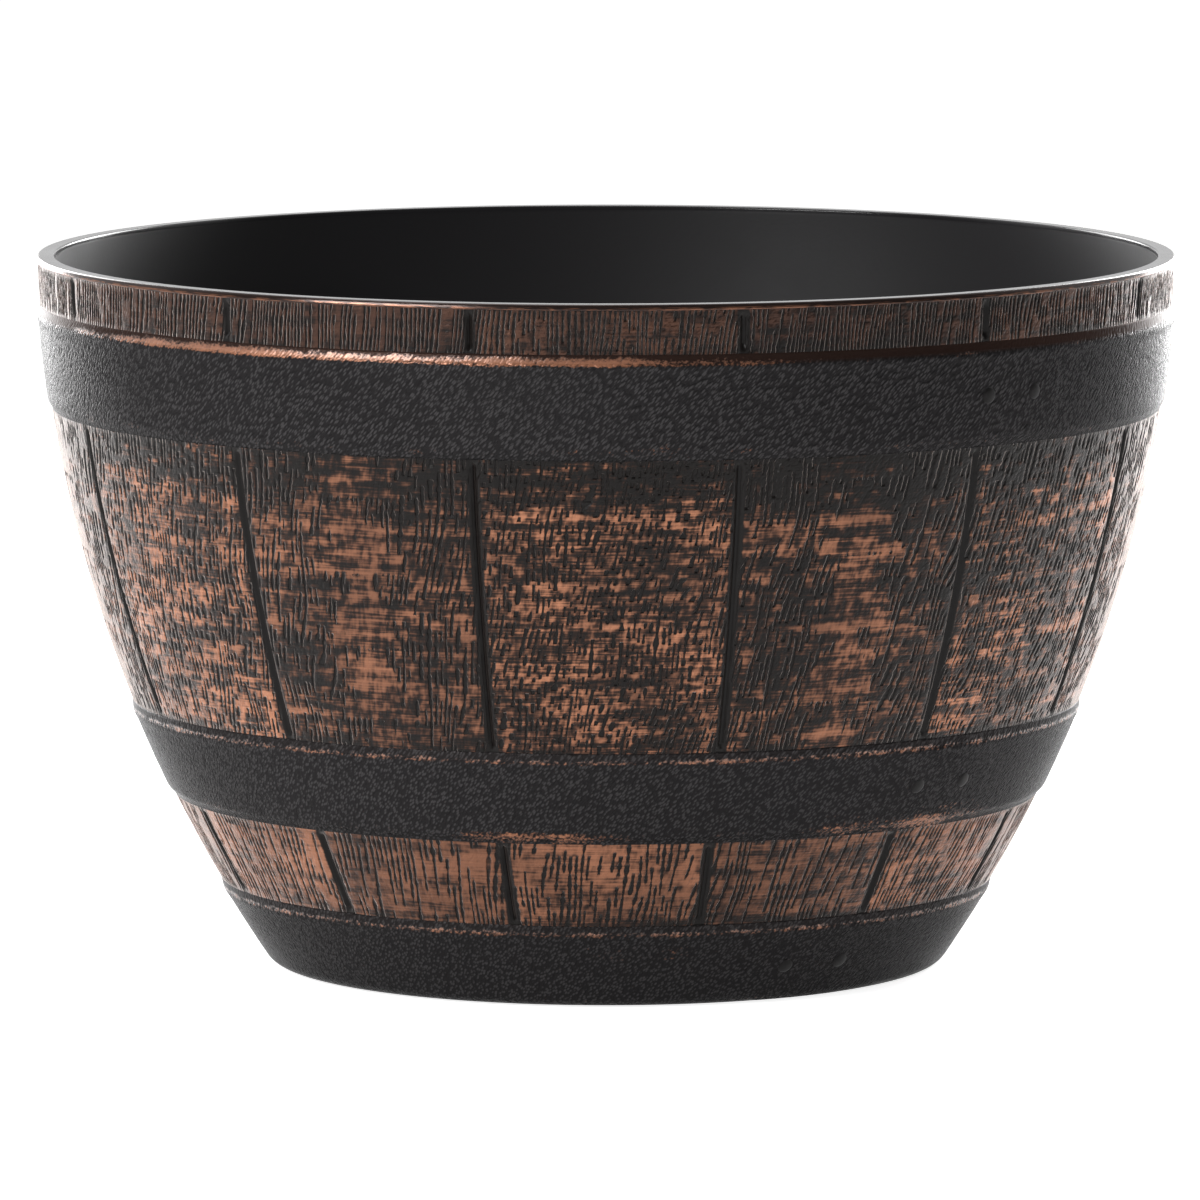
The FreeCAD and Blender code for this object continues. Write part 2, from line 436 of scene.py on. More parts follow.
# Pebble grain: moulded on the hoops, finer in their finish, and in the finish of the staves
PEBBLE_SIZE = 1.3
PEBBLE_STRETCH = 1.2  # height over width
PEBBLE_SLANT = -0.0036  # turn about the axis for each millimetre of height, in radians
PEBBLE_DEPTH = 0.12
PEBBLE_LEVEL = 0.7  # the height on a pebble that lies in the hoop's face
FINE_PEBBLE_SIZE = 1.05
FINE_PEBBLE_STRETCH = 1.7
STAVE_PEBBLE_SIZE = 1.1

# Strap of a lap, measured from its edge or its end
STRAP_STEP = 0.45
STRAP_CORNER = 10.0
STRAP_EDGE = (-0.5, 0.5)
STRAP_START = (-2.0, 0.0)
STRAP_FADE = (25.0, 80.0)  # where the strap sinks into the hoop


def pebble(spot, size, stretch=PEBBLE_STRETCH):
    """Leather grain: small slanted pebbles that run on round the hoop."""
    x, y, z = spot
    turn = z * PEBBLE_SLANT
    cosine, sine = turn.math("COSINE"), turn.math("SINE")
    east = x * cosine - y * sine
    north = x * sine + y * cosine
    cell = vector(x.tree, east / size, north / size, z / (size * stretch))
    domes = add(x.tree, "ShaderNodeTexVoronoi", {"Vector": cell, "Scale": 1.0})
    distance = Flow(x.tree, domes.outputs["Distance"])
    return 1.0 - distance * distance


def strap_relief(hoop, spot):
    """Height of the strap's end over the hoop, in millimetres."""
    x, y, z = spot
    inside = (hoop.lap_end - bearing_of(x, y)) * (hoop.facing * DEGREE * hoop.mean_radius)
    half = (hoop.high - hoop.low) / 2
    middle = (hoop.high + hoop.low) / 2
    rise = ((z - middle).size() - (half - STRAP_CORNER)).math("MAXIMUM", 0.0)
    short = (STRAP_CORNER - inside).math("MAXIMUM", 0.0)
    edge = STRAP_CORNER - (rise * rise + short * short).math("SQRT")
    strap = edge.rise(*STRAP_EDGE) * inside.fall(*STRAP_FADE) * inside.rise(*STRAP_START)
    return strap * STRAP_STEP


# Materials

def new_material(name):
    """A material with its tree and its main shader."""
    material = bpy.data.materials.new(name)
    material.use_nodes = True
    tree = material.node_tree
    return material, tree, tree.nodes["Principled BSDF"]


def object_place(tree):
    """Object coordinates in millimetres."""
    coords = add(tree, "ShaderNodeTexCoord")
    scaled = add(tree, "ShaderNodeVectorMath", {0: coords.outputs["Object"], 1: (1000, 1000, 1000)},
                 operation="MULTIPLY")
    return parts_of(tree, scaled.outputs[0])


def blend(tree, share, first, second):
    """Colour between two colours."""
    node = add(tree, "ShaderNodeMix", {0: share, 6: first, 7: second}, data_type="RGBA")
    return node.outputs[2]


def bump(tree, height, depth):
    """Fine relief of the given depth in millimetres."""
    node = add(tree, "ShaderNodeBump", {"Strength": 1.0, "Distance": depth * MM, "Height": height})
    return node.outputs[0]


# Cover of the brushed copper: how much each kind of mark adds or takes away
STREAK_COVER = 0.50
FLECK_COVER = 0.50
BLOTCH_COVER = 0.80
BAR_COVER = 0.50
CLOUD_COVER = 0.20
STAVE_COVER = 0.05  # from stave to stave
ODD_COVER = 0.05  # on every second stave
FLAME_COVER = 0.10
DASH_COVER = 0.50
STRIPE_COVER = 0.18
FOOT_COVER = 0.12
JOINT_COVER = 0.80

# Where the stripe beside a joint and the darker places lie, from the joint or the band's end
STRIPE_FROM_JOINT = 6.0
STRIPE_SIDE = (0.5, 3.0)
STRIPE_LENGTH = 24.0
STRIPE_SHOWS = (0.45, 0.65)
FOOT_DARK = (0.5, 6.0)
TOP_DARK = (6.0, 24.0)
JOINT_DARK = (1.0, 2.6)

# How the cover turns into paint, and how bright that is
PAINT_SHOWS = (0.28, 0.66)
TONE_RISES = (0.42, 0.88)
COVER_TONE = 0.90
STREAK_TONE = 0.50
LEAST_TONE = 0.08
ODD_DULLER = 0.34  # how much duller every second stave is
CLOUD_RISES = (0.30, 0.70)
CLOUD_TONE = 0.40
CLOUDLESS_TONE = 0.75

# Fine relief of the finish, beside that of the grain
PEBBLE_BUMP = 0.4
STREAK_BUMP = 0.3
FLECK_BUMP = 0.5
BUMP_FROM_JOINT = (0.8, 2.4)


def stave_finish(band):
    """Black grained resin with copper brushed across it."""
    material, tree, shader = new_material("stave_paint_" + band.name)
    place = add(tree, "ShaderNodeAttribute", attribute_name="place")
    turn, along, radius = parts_of(tree, place.outputs["Vector"])
    spot = object_place(tree)
    wood = Grain(band, turn, along, radius)

    streaks = wood.marks(wide=13.0, tall=0.75, seed=11.0, detail=1.0)
    flecks = wood.marks(wide=1.5, tall=4.2, seed=23.0, detail=1.0, slant=band.slant)
    blotches = wood.marks(wide=4.6, tall=4.4, seed=13.0, detail=1.5, roughness=0.6,
                          slant=band.slant)
    bars = wood.marks(wide=34.0, tall=3.0, seed=19.0)
    clouds = wood.marks(wide=30.0, tall=26.0, seed=17.0)
    stripe = (wood.edge - STRIPE_FROM_JOINT).size().fall(*STRIPE_SIDE)
    stripe = stripe * noise(along / STRIPE_LENGTH, wood.seed, 21.0).rise(*STRIPE_SHOWS)
    cover = 0.0
    for marks, weight in ((streaks, STREAK_COVER), (flecks, FLECK_COVER), (blotches, BLOTCH_COVER),
                          (bars, BAR_COVER), (clouds, CLOUD_COVER)):
        cover = cover + (marks - NOISE_MEAN) * weight
    cover = cover * band.blotch - wood.number.math("SINE") * STAVE_COVER
    cover = cover + wood.calm * FLAME_COVER - wood.odd * ODD_COVER - wood.dashes * DASH_COVER
    cover = cover + stripe * STRIPE_COVER + band.cover
    cover = cover - (along - band.low).fall(*FOOT_DARK) * FOOT_COVER
    cover = cover - wood.edge.fall(*JOINT_DARK) * JOINT_COVER
    if band.bare_top:
        cover = cover - (band.high - along).fall(*TOP_DARK) * band.bare_top
    paint = cover.rise(*PAINT_SHOWS)

    tone = cover.rise(*TONE_RISES) * COVER_TONE + (streaks - NOISE_MEAN) * STREAK_TONE + LEAST_TONE
    tone = tone * (1.0 - wood.odd * ODD_DULLER)
    tone = tone * (clouds.rise(*CLOUD_RISES) * CLOUD_TONE + CLOUDLESS_TONE) * band.shine
    copper = blend(tree, tone, DULL_COPPER, COPPER)
    grain = pebble(spot, STAVE_PEBBLE_SIZE) * PEBBLE_BUMP - wood.dashes * band.relief
    grain = grain + streaks * STREAK_BUMP + flecks * FLECK_BUMP
    feed_all(tree, shader, {
        "Base Color": blend(tree, paint, RESIN, copper),
        "Metallic": paint * 0.6,
        "Roughness": 0.36 - paint * 0.04,
        "Specular IOR Level": 0.15,
        "Sheen Weight": 1.0,
        "Sheen Roughness": 0.30,
        "Sheen Tint": COPPER_SHEEN,
        "Normal": bump(tree, grain * wood.edge.rise(*BUMP_FROM_JOINT), depth=0.36),
    })
    return material


# Wear of a hoop: where copper is rubbed on it, and how much each cause counts
RAMP_FROM_RIDGE = (-0.6, 1.2)
GLAZE_FILL = 0.6  # how far the glaze on the ramp fills its grain
RIDGE_WEAR_RISE = 0.4  # how far above the ridge the middle of the worn line lies
RIDGE_WEAR_SIDE = (0.2, 2.1)
FOOT_WEAR_SIDE = (0.2, 3.5)
FOOT_WEAR = 0.14
PATCH_WEAR = 0.50
SPECK_WEAR = 0.60
GRAIN_WEAR = 0.22
STROKE_CORE = 0.4  # share of a stroke's reach that has its full strength
STROKE_SIDE = (-1.0, 2.0)
WEAR_SHOWS = (0.26, 0.46)
WEAR_BRIGHT = (0.28, 0.60)
PAINTED_GLINT_LEVEL = (0.70, 1.0)  # the height on a pebble above which its top is painted lighter, as a glint


def stroke_mask(stroke, bearing, z):
    """Where one stroke of the copper brush lies on a hoop."""
    middle, reach, low, high, strength = stroke
    outer, inner = STROKE_SIDE
    around = (bearing - middle).size().fall(reach * STROKE_CORE, reach)
    return around * z.rise(low + outer, low + inner) * z.fall(high - inner, high - outer) * strength


def hoop_finish(hoop):
    """Black resin with pebble grain, painted glints on its pebble tops, and copper rubbed along its
    edges.
    """
    material, tree, shader = new_material(hoop.name + "_resin")
    x, y, z = spot = object_place(tree)
    bearing = bearing_of(x, y)
    ramp = z.rise(*(hoop.high + more for more in RAMP_FROM_RIDGE))
    leather = pebble(spot, FINE_PEBBLE_SIZE, FINE_PEBBLE_STRETCH)
    grain = leather * (1.0 - ramp * hoop.glaze * GLAZE_FILL)
    patches = mottle(spot, wide=17.0, tall=9.0, detail=2.0, roughness=0.6)
    specks = mottle(spot, wide=1.3, tall=0.9, detail=2.0, roughness=0.6)
    ridge = (z - hoop.high - RIDGE_WEAR_RISE).size().fall(*RIDGE_WEAR_SIDE) * hoop.ridge_copper
    foot = (z - hoop.low).size().fall(*FOOT_WEAR_SIDE) * FOOT_WEAR
    wear = ridge + foot
    for marks, weight in ((patches, PATCH_WEAR), (specks, SPECK_WEAR), (grain, GRAIN_WEAR)):
        wear = wear + (marks - NOISE_MEAN) * weight
    for stroke in hoop.strokes:
        wear = wear + stroke_mask(stroke, bearing, z)
    paint = wear.rise(*WEAR_SHOWS)
    # Painted glints: the pebble tops are coloured lighter than the resin between them.
    glint_painted_resin = blend(tree, leather.rise(*PAINTED_GLINT_LEVEL), HOOP_VALLEY, HOOP_PAINTED_GLINT)
    resin = blend(tree, ramp * hoop.glaze, glint_painted_resin, DULL_COPPER)
    # Copper is brighter where the rub is stronger; on the top hoop's front-left ridge this
    # brightness is partly a painted highlight.
    copper = blend(tree, wear.rise(*WEAR_BRIGHT), DULL_COPPER, COPPER)
    feed_all(tree, shader, {
        "Base Color": blend(tree, paint, resin, copper),
        "Metallic": 0.3,
        "Specular Tint": blend(tree, paint, HOOP_EDGE, WHITE),
        "Roughness": ramp * 0.02 + 0.26,
        "Specular IOR Level": paint * (ramp * 0.9 + 0.1) + 0.008,
        "Normal": bump(tree, grain, depth=0.30),
    })
    return material


# Copper on the lip's outer face, measured from the rim's radius, the lip's foot or the top
LIP_FACE = (-1.6, -0.4)
LIP_BROWN = 0.8
LIP_RUB_RISE = 0.5
LIP_RUB_SIDE = (0.2, 0.7)
LIP_RUB_SHOWS = (0.70, 0.95)
LIP_RUB_CLOUDS = 0.6
LIP_RUB = 0.5
LIP_GLOSS = (-2.5, -1.0)


def inside_finish():
    """Smooth satin resin of the inside and the lip."""
    material, tree, shader = new_material("inside_resin")
    x, y, z = spot = object_place(tree)
    clouds = mottle(spot, wide=26.0, tall=26.0, detail=3.0, roughness=0.6)
    peel = mottle(spot, wide=1.6, tall=1.6, detail=1.0)
    specks = mottle(spot, wide=5.0, tall=0.5, detail=2.0, roughness=0.6)
    radius = (x * x + y * y).math("SQRT")
    outside = radius.rise(*(RIM_RADIUS + more for more in LIP_FACE))
    rubbed = outside * (z - LIP_FOOT - LIP_RUB_RISE).size().fall(*LIP_RUB_SIDE)
    rubbed = rubbed * (specks + clouds * LIP_RUB_CLOUDS).rise(*LIP_RUB_SHOWS)
    painted = blend(tree, outside * LIP_BROWN, INSIDE_RESIN, DULL_COPPER)
    satin = z.fall(*(HEIGHT + more for more in LIP_GLOSS))
    feed_all(tree, shader, {
        "Base Color": blend(tree, rubbed * LIP_RUB, painted, COPPER),
        "Metallic": outside * 0.5,
        "Roughness": satin * 0.36 + clouds * 0.08 + 0.14,
        "Specular IOR Level": 0.3,
        "Normal": bump(tree, peel, depth=0.02),
    })
    return material


def rivet_finish():
    """Smooth resin of the moulded rivet heads."""
    material, tree, shader = new_material("rivet_resin")
    clouds = mottle(object_place(tree), wide=2.0, tall=2.0, detail=2.0)
    feed_all(tree, shader, {
        "Base Color": blend(tree, clouds, RESIN, HOOP_VALLEY),
        "Roughness": clouds * 0.2 + 0.32,
        "Specular IOR Level": 0.1,
        "Normal": bump(tree, clouds, depth=0.04),
    })
    return material


BLOOM_SHOWS = (0.35, 0.75)


def rubber_finish():
    """Moulded rubber of the drain plugs, with a pale bloom."""
    material, tree, shader = new_material("drain_rubber")
    spot = object_place(tree)
    grit = mottle(spot, wide=0.5, tall=0.5, detail=2.0)
    bloom = mottle(spot, wide=7.0, tall=7.0, detail=2.0).rise(*BLOOM_SHOWS)
    feed_all(tree, shader, {
        "Base Color": blend(tree, bloom, RUBBER, RUBBER_BLOOM),
        "Roughness": grit * 0.15 + 0.58,
        "Normal": bump(tree, grit, depth=0.03),
    })
    return material


# Pieces made by geometry nodes

def new_tree(name, **inputs):
    """Geometry nodes with named inputs of the given kinds, which give out one piece."""
    tree = bpy.data.node_groups.new(name, "GeometryNodeTree")
    for label, kind in inputs.items():
        tree.interface.new_socket(label, in_out="INPUT", socket_type="NodeSocket" + kind)
    tree.interface.new_socket("Piece", in_out="OUTPUT", socket_type="NodeSocketGeometry")
    return tree, add(tree, "NodeGroupInput").outputs


def give_out(tree, piece, finish):
    """Ends a tree: its piece, with the finish on."""
    painted = add(tree, "GeometryNodeSetMaterial", {"Geometry": piece, "Material": finish})
    feed(tree, add(tree, "NodeGroupOutput").inputs[0], painted.outputs[0])


def link(piece):
    bpy.context.scene.collection.objects.link(piece)
    return piece


def settle(piece, modifier):
    """Gives a piece the plain mesh that its modifier makes."""
    evaluated = piece.evaluated_get(bpy.context.evaluated_depsgraph_get())
    mesh = bpy.data.meshes.new_from_object(evaluated)
    piece.modifiers.remove(modifier)
    piece.data = mesh
    return mesh


def grown(name, tree, base, **inputs):
    """A plain mesh object made by a geometry tree over a base mesh."""
    piece = link(bpy.data.objects.new(name, base))
    modifier = piece.modifiers.new("make", "NODES")
    modifier.node_group = tree
    for item in tree.interface.items_tree:
        if item.in_out == "INPUT" and item.name in inputs:
            modifier[item.identifier] = inputs[item.name]
    mesh = settle(piece, modifier)
    mesh.name = name
    if mesh.materials[0] is None:
        mesh.materials.pop(index=0)
    return piece


def belongs_to_tub(piece):
    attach(piece, "tub")
    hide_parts("barrel_shell")


# Turned pieces: a profile carried round the axis, with relief along its outward direction

WELD = 2e-6  # points closer than this are one, in metres
SHARP_OUTSIDE = 80  # edges sharper than these stay sharp in the shading
SHARP_INSIDE = 50
SHARP_PLUG = 40


def turned_tree(name, relief):
    """Geometry nodes that turn a profile. The relief takes a point's place (turn, along, radius)
    and its spot (x, y, z), and gives its height in millimetres."""
    tree, given = new_tree(name, Profile="Object", Columns="Int", Start="Float", End="Float",
                           Finish="Material")
    info = add(tree, "GeometryNodeObjectInfo", {"Object": given["Profile"]})
    profile = info.outputs["Geometry"]
    rows = add(tree, "GeometryNodeAttributeDomainSize", {0: profile}).outputs["Point Count"]
    grid = add(tree, "GeometryNodeMeshGrid", {"Vertices X": given["Columns"], "Vertices Y": rows})

    index = Flow(tree, add(tree, "GeometryNodeInputIndex").outputs[0])
    column = (index / Flow(tree, rows)).floor()
    row = index - column * Flow(tree, rows)

    def sampled(kind, value):
        node = add(tree, "GeometryNodeSampleIndex",
                   {"Geometry": profile, "Value": value, "Index": row}, data_type=kind)
        return node.outputs[0]

    def stored(kind, label):
        node = add(tree, "GeometryNodeInputNamedAttribute", {"Name": label}, data_type=kind)
        return node.outputs[0]

    position = add(tree, "GeometryNodeInputPosition").outputs[0]
    radius, _, z = parts_of(tree, sampled("FLOAT_VECTOR", position))
    out, along, up = parts_of(tree, sampled("FLOAT_VECTOR", stored("FLOAT_VECTOR", "out")))
    share = Flow(tree, sampled("FLOAT", stored("FLOAT", "share")))

    start, end = Flow(tree, given["Start"]), Flow(tree, given["End"])
    turn = start + (end - start) * column / (Flow(tree, given["Columns"]) - 1.0)
    angle = (turn - (turn * DEGREE).math("SINE") * STAVE_SPREAD) * DEGREE
    sine, cosine = angle.math("SINE"), angle.math("COSINE")
    spot = (radius * sine, radius * cosine * -1.0, z)
    height = relief((turn, along, radius), spot) * share
    reach = radius + out * height
    raised = vector(tree, reach * sine * MM, reach * cosine * -MM, (z + up * height) * MM)

    kept = add(tree, "GeometryNodeStoreNamedAttribute",
               {"Geometry": grid.outputs["Mesh"], "Name": "place",
                "Value": vector(tree, turn, along, radius)},
               data_type="FLOAT_VECTOR", domain="POINT")
    moved = add(tree, "GeometryNodeSetPosition", {"Geometry": kept.outputs[0], "Position": raised})
    closed = add(tree, "GeometryNodeMergeByDistance",
                 {"Geometry": moved.outputs[0], "Distance": WELD})
    smooth = add(tree, "GeometryNodeSetShadeSmooth", {"Geometry": closed.outputs[0]})
    real = add(tree, "GeometryNodeRealizeInstances", {"Geometry": smooth.outputs[0]})
    give_out(tree, real.outputs[0], given["Finish"])
    return tree


def profile_object(rows):
    """The rows of a profile as loose points with their attributes."""
    mesh = bpy.data.meshes.new("profile")
    mesh.from_pydata([(row[0], 0, row[1]) for row in rows], [], [])
    mesh.attributes.new("out", "FLOAT_VECTOR", "POINT")
    mesh.attributes.new("share", "FLOAT", "POINT")
    for index, (_, _, out_r, out_z, along, share) in enumerate(rows):
        mesh.attributes["out"].data[index].vector = (out_r, along, out_z)
        mesh.attributes["share"].data[index].value = share
    return link(bpy.data.objects.new("profile", mesh))


def turned(name, rows, tree, finish, columns, start=-180.0, end=180.0):
    """A profile turned between two angles."""
    profile = profile_object(rows)
    piece = grown(name, tree, bpy.data.meshes.new(name), Profile=profile, Columns=columns,
                  Start=start, End=end, Finish=finish)
    bpy.data.objects.remove(profile)
    return piece


def close_ends(mesh):
    """Caps the open ends of a piece that doesn't run all the way round."""
    work = bmesh.new()
    work.from_mesh(mesh)
    bmesh.ops.holes_fill(work, edges=[edge for edge in work.edges if edge.is_boundary], sides=0)
    work.to_mesh(mesh)
    work.free()


def outside_piece(name, rows, tree, finish, spacing, start=-180.0, end=180.0):
    """A turned piece of the tub's outside, with its columns about spacing apart."""
    widest = max(row[0] for row in rows)
    columns = round((end - start) * DEGREE * widest / spacing)
    piece = turned(name, rows, tree, finish, columns, start, end)
    if end - start < 360.0:
        close_ends(piece.data)
    piece.data.set_sharp_from_angle(angle=SHARP_OUTSIDE * DEGREE)
    belongs_to_tub(piece)


def back(high, low, count):
    """Hidden rows that close a piece inside the wall."""
    return [side(along, -BACK_DEPTH, 0.0) for along in spread(high, low, (high - low) / count)]


# Staves

def stave_pieces(band, groups, column_step, row_step):
    """The staves of one band, in groups that meet in the joints."""
    def relief(place, spot):
        return Grain(band, *place).height()

    tree = turned_tree("staves_" + band.name, relief)
    finish = stave_finish(band)
    low, high = band.low - UNDERLAP, band.high + UNDERLAP
    rows = [side(along) for along in spread(low, high, row_step)] + back(high, low, count=6)
    rows.append(rows[0])
    start = -180.0
    for number, count in enumerate(groups, start=1):
        end = start + count * STAVE_ANGLE
        name = "staves_%s_%d" % (band.name, number)
        outside_piece(name, rows, tree, finish, column_step, start, end)
        start = end


# Hoops

def between(z, levels, past):
    """1 between the inner two of a hoop's four levels and 0 outside, each moved by so much."""
    foot, corner, ridge, ramp = (level + more for level, more in zip(levels, past))
    return ease(z, foot, corner) * (1 - ease(z, ridge, ramp))


def ridge_bead(z, ridge, height):
    return height * math.exp(-((z - ridge + BEAD_DROP) / BEAD_WIDTH) ** 2)


def hoop_rows(levels, step):
    """Outside rows of a hoop, from its bevel foot up over its ridge, with soft edges."""
    rows = []
    foot, _, ridge, ramp = levels
    for along in spread(along_at(foot), along_at(ramp), step):
        z = side(along, HOOP_PROUD)[1]
        proud = HOOP_PROUD * between(z, levels, HOOP_EASE) + ridge_bead(z, ridge, BEAD)
        rows.append(side(along, proud, between(z, levels, PEBBLE_EASE)))
    return rows


def hoop_tree(hoop):
    def relief(place, spot):
        grain = (pebble(spot, PEBBLE_SIZE) - PEBBLE_LEVEL) * PEBBLE_DEPTH
        return grain + strap_relief(hoop, spot)

    return turned_tree(hoop.name, relief)


def band_hoop(hoop, levels, spacing):
    rows = hoop_rows(levels, spacing)
    rows += back(rows[-1][4], rows[0][4], count=4)
    rows.append(rows[0])
    outside_piece(hoop.name, rows, hoop_tree(hoop), hoop_finish(hoop), spacing)


def foot_centre():
    """Centre of the round between the side and the ground."""
    reach = SIDE_RADIUS + HOOP_PROUD - FOOT_ROUND
    return Vector((CENTRE.x + math.sqrt(reach ** 2 - (FOOT_ROUND - CENTRE.y) ** 2), FOOT_ROUND))


def base_hoop(spacing):
    """The lowest hoop, which runs round the foot to the ring that stands on the ground."""
    centre = foot_centre()
    outward = (centre - CENTRE).normalized()
    tilt = math.atan2(outward.y, outward.x)
    rows = []
    for angle in spread(-math.pi / 2, tilt, spacing / FOOT_ROUND):
        out = Vector((math.cos(angle), math.sin(angle)))
        spot = centre + out * FOOT_ROUND
        rows.append((spot.x, spot.y, out.x, out.y, 0.0, ease(angle, *FOOT_PEBBLES)))
    side_low = along_at(rows[-1][1], HOOP_PROUD)
    for along in spread(side_low, along_at(BASE_HOOP_RAMP), spacing)[1:]:
        z = side(along, HOOP_PROUD)[1]
        fade = 1 - ease(z, BASE_HOOP_RIDGE + HOOP_EASE[2], BASE_HOOP_RAMP + HOOP_EASE[3])
        proud = HOOP_PROUD * fade + ridge_bead(z, BASE_HOOP_RIDGE, BASE_BEAD)
        rows.append(side(along, proud, fade))
    rows += back(rows[-1][4], along_at(BASE_BACK_LOW), count=3)
    rows.append(plain(*BASE_SHOULDER))
    inner = centre.x - FOOT_WIDTH
    rows += [plain(inner + past, z) for past, z in FOOT_RING_INSIDE]
    rows.append(rows[0])
    outside_piece(BASE.name, rows, hoop_tree(BASE), hoop_finish(BASE), spacing)


# Rivet heads

RIVET_RADIUS = 2.8
RIVET_DOME = 0.7  # half height of the flat dome
RIVET_SUNK = 0.2  # how far the dome's middle lies under the strap's face


def rivet_tree():
    """Geometry nodes that set a flat dome on every point, square to its facing."""
    tree, given = new_tree("rivet_heads", Spots="Geometry", Radius="Float", Dome="Float",
                           Finish="Material")
    ball = add(tree, "GeometryNodeMeshUVSphere", {"Segments": 48, "Rings": 24, "Radius": 1.0})
    radius, dome = Flow(tree, given["Radius"]) * MM, Flow(tree, given["Dome"]) * MM
    head = add(tree, "GeometryNodeTransform", {"Geometry": ball.outputs["Mesh"],
                                               "Scale": vector(tree, radius, radius, dome)})
    facing = add(tree, "GeometryNodeInputNamedAttribute", {"Name": "facing"},
                 data_type="FLOAT_VECTOR")
    turned_to = add(tree, "FunctionNodeAlignRotationToVector", {"Vector": facing.outputs[0]},
                    axis="Z")
    heads = add(tree, "GeometryNodeInstanceOnPoints",
                {"Points": given["Spots"], "Instance": head.outputs[0],
                 "Rotation": turned_to.outputs[0]})
    real = add(tree, "GeometryNodeRealizeInstances", {"Geometry": heads.outputs[0]})
    smooth = add(tree, "GeometryNodeSetShadeSmooth", {"Geometry": real.outputs[0]})
    give_out(tree, smooth.outputs[0], given["Finish"])
    return tree


def rivets():
    """The moulded rivet heads of all three laps."""
    spots, facings = [], []
    for hoop in (TOP, WAIST, BASE):
        along = along_at((hoop.low + hoop.high) / 2, HOOP_PROUD)
        radius, z, out_r, out_z = side(along, HOOP_PROUD + STRAP_STEP - RIVET_SUNK)[:4]
        for bearing in hoop.rivets:
            sine, cosine = math.sin(bearing * DEGREE), math.cos(bearing * DEGREE)
            spots.append((radius * sine * MM, -radius * cosine * MM, z * MM))
            facings.append((out_r * sine, -out_r * cosine, out_z))
    mesh = bpy.data.meshes.new("rivet_spots")
    mesh.from_pydata(spots, [], [])
    mesh.attributes.new("facing", "FLOAT_VECTOR", "POINT")
    for index, facing in enumerate(facings):
        mesh.attributes["facing"].data[index].vector = facing
    piece = grown("hoop_rivets", rivet_tree(), mesh, Radius=RIVET_RADIUS, Dome=RIVET_DOME,
                  Finish=rivet_finish())
    belongs_to_tub(piece)


# Lip, inside and floor

def hidden_rows():
    """From the axis under the floor, and up inside the wall to the lip."""
    floor_end = foot_centre().x - FOOT_WIDTH - FLOOR_TUCK
    rows = [plain(radius, FLOOR_LOW) for radius in spread(0.0, floor_end, step=12.0)]
    rows += [side(along, -INSIDE_BACK, 0.0)
             for along in spread(along_at(INSIDE_BACK_LOW), along_at(INSIDE_BACK_TOP), step=20.0)]
    return rows + [plain(STAVE_TOP_RADIUS - LIP_TUCK, LIP_FOOT - LIP_EDGE)]


def lip_rows():
    """Over the lip, from its foot to its inner round."""
    rows = [plain(RIM_RADIUS - LIP_EDGE / 2, LIP_FOOT)]
    face_low, face_high = LIP_FOOT + LIP_EDGE, HEIGHT - LIP_ROUND * (1 - math.sin(LIP_LEAN))
    face_top = RIM_RADIUS - (face_high - face_low) * math.tan(LIP_LEAN)
    rows += [plain(RIM_RADIUS + (face_top - RIM_RADIUS) * share,
                   face_low + (face_high - face_low) * share) for share in (0.0, 0.3, 0.6, 0.9)]
    lip_centre = (face_top - LIP_ROUND * math.cos(LIP_LEAN), HEIGHT - LIP_ROUND)
    rows += round_rows(lip_centre, LIP_ROUND, LIP_LEAN, math.pi / 2, step=0.16)
    mouth = side(along_at(HEIGHT - MOUTH_ROUND), -WALL)[0] + MOUTH_ROUND
    flat = spread(face_top - LIP_ROUND + LIP_FLAT[0], mouth + LIP_FLAT[1], step=1.0)
    rows += [plain(radius, HEIGHT) for radius in flat]
    mouth_centre = (mouth, HEIGHT - MOUTH_ROUND)
    return rows + round_rows(mouth_centre, MOUTH_ROUND, math.pi / 2, math.pi, step=0.3)


def bowl_rows():
    """Down the inside wall, round the fillet and along the floor to the axis."""
    reach = SIDE_RADIUS - WALL - FLOOR_FILLET
    centre_z = FLOOR_TOP + FLOOR_FILLET
    centre = Vector((CENTRE.x + math.sqrt(reach ** 2 - (centre_z - CENTRE.y) ** 2), centre_z))
    tilt = math.atan2(centre.y - CENTRE.y, centre.x - CENTRE.x)
    wall_low = along_at(centre.y + FLOOR_FILLET * math.sin(tilt), -WALL)
    wall_high = along_at(WALL_TOP, -WALL)
    rows = [side(along, -WALL, 0.0) for along in spread(wall_high, wall_low, step=3.0)]
    rows += round_rows(centre, FLOOR_FILLET, tilt, -math.pi / 2, step=0.12)[1:]
    return rows + [plain(radius, FLOOR_TOP) for radius in spread(centre.x, 0.0, step=6.0)[1:]]


def drain_spots():
    """Middle of each drain hole, with its angle about the axis in radians."""
    spots = []
    for index in range(DRAIN_COUNT):
        angle = 2 * math.pi * index / DRAIN_COUNT
        spots.append((Vector((math.cos(angle), math.sin(angle), 0)) * DRAIN_CIRCLE_RADIUS, angle))
    return spots


def cut_drains(piece):
    """Opens the drain holes through the floor."""
    work = bmesh.new()
    radius = DRAIN_HOLE_RADIUS * MM
    for spot, _ in drain_spots():
        made = bmesh.ops.create_cone(work, cap_ends=True, segments=48, radius1=radius,
                                     radius2=radius, depth=CUTTER_LENGTH * MM)
        bmesh.ops.translate(work, verts=made["verts"],
                            vec=spot * MM + Vector((0, 0, FLOOR_LOW * MM)))
    mesh = bpy.data.meshes.new("drain_cutter")
    work.to_mesh(mesh)
    work.free()
    cutter = link(bpy.data.objects.new("drain_cutter", mesh))
    modifier = piece.modifiers.new("drains", "BOOLEAN")
    modifier.operation = "DIFFERENCE"
    modifier.solver = "EXACT"
    modifier.object = cutter
    settle(piece, modifier)
    bpy.data.objects.remove(cutter)


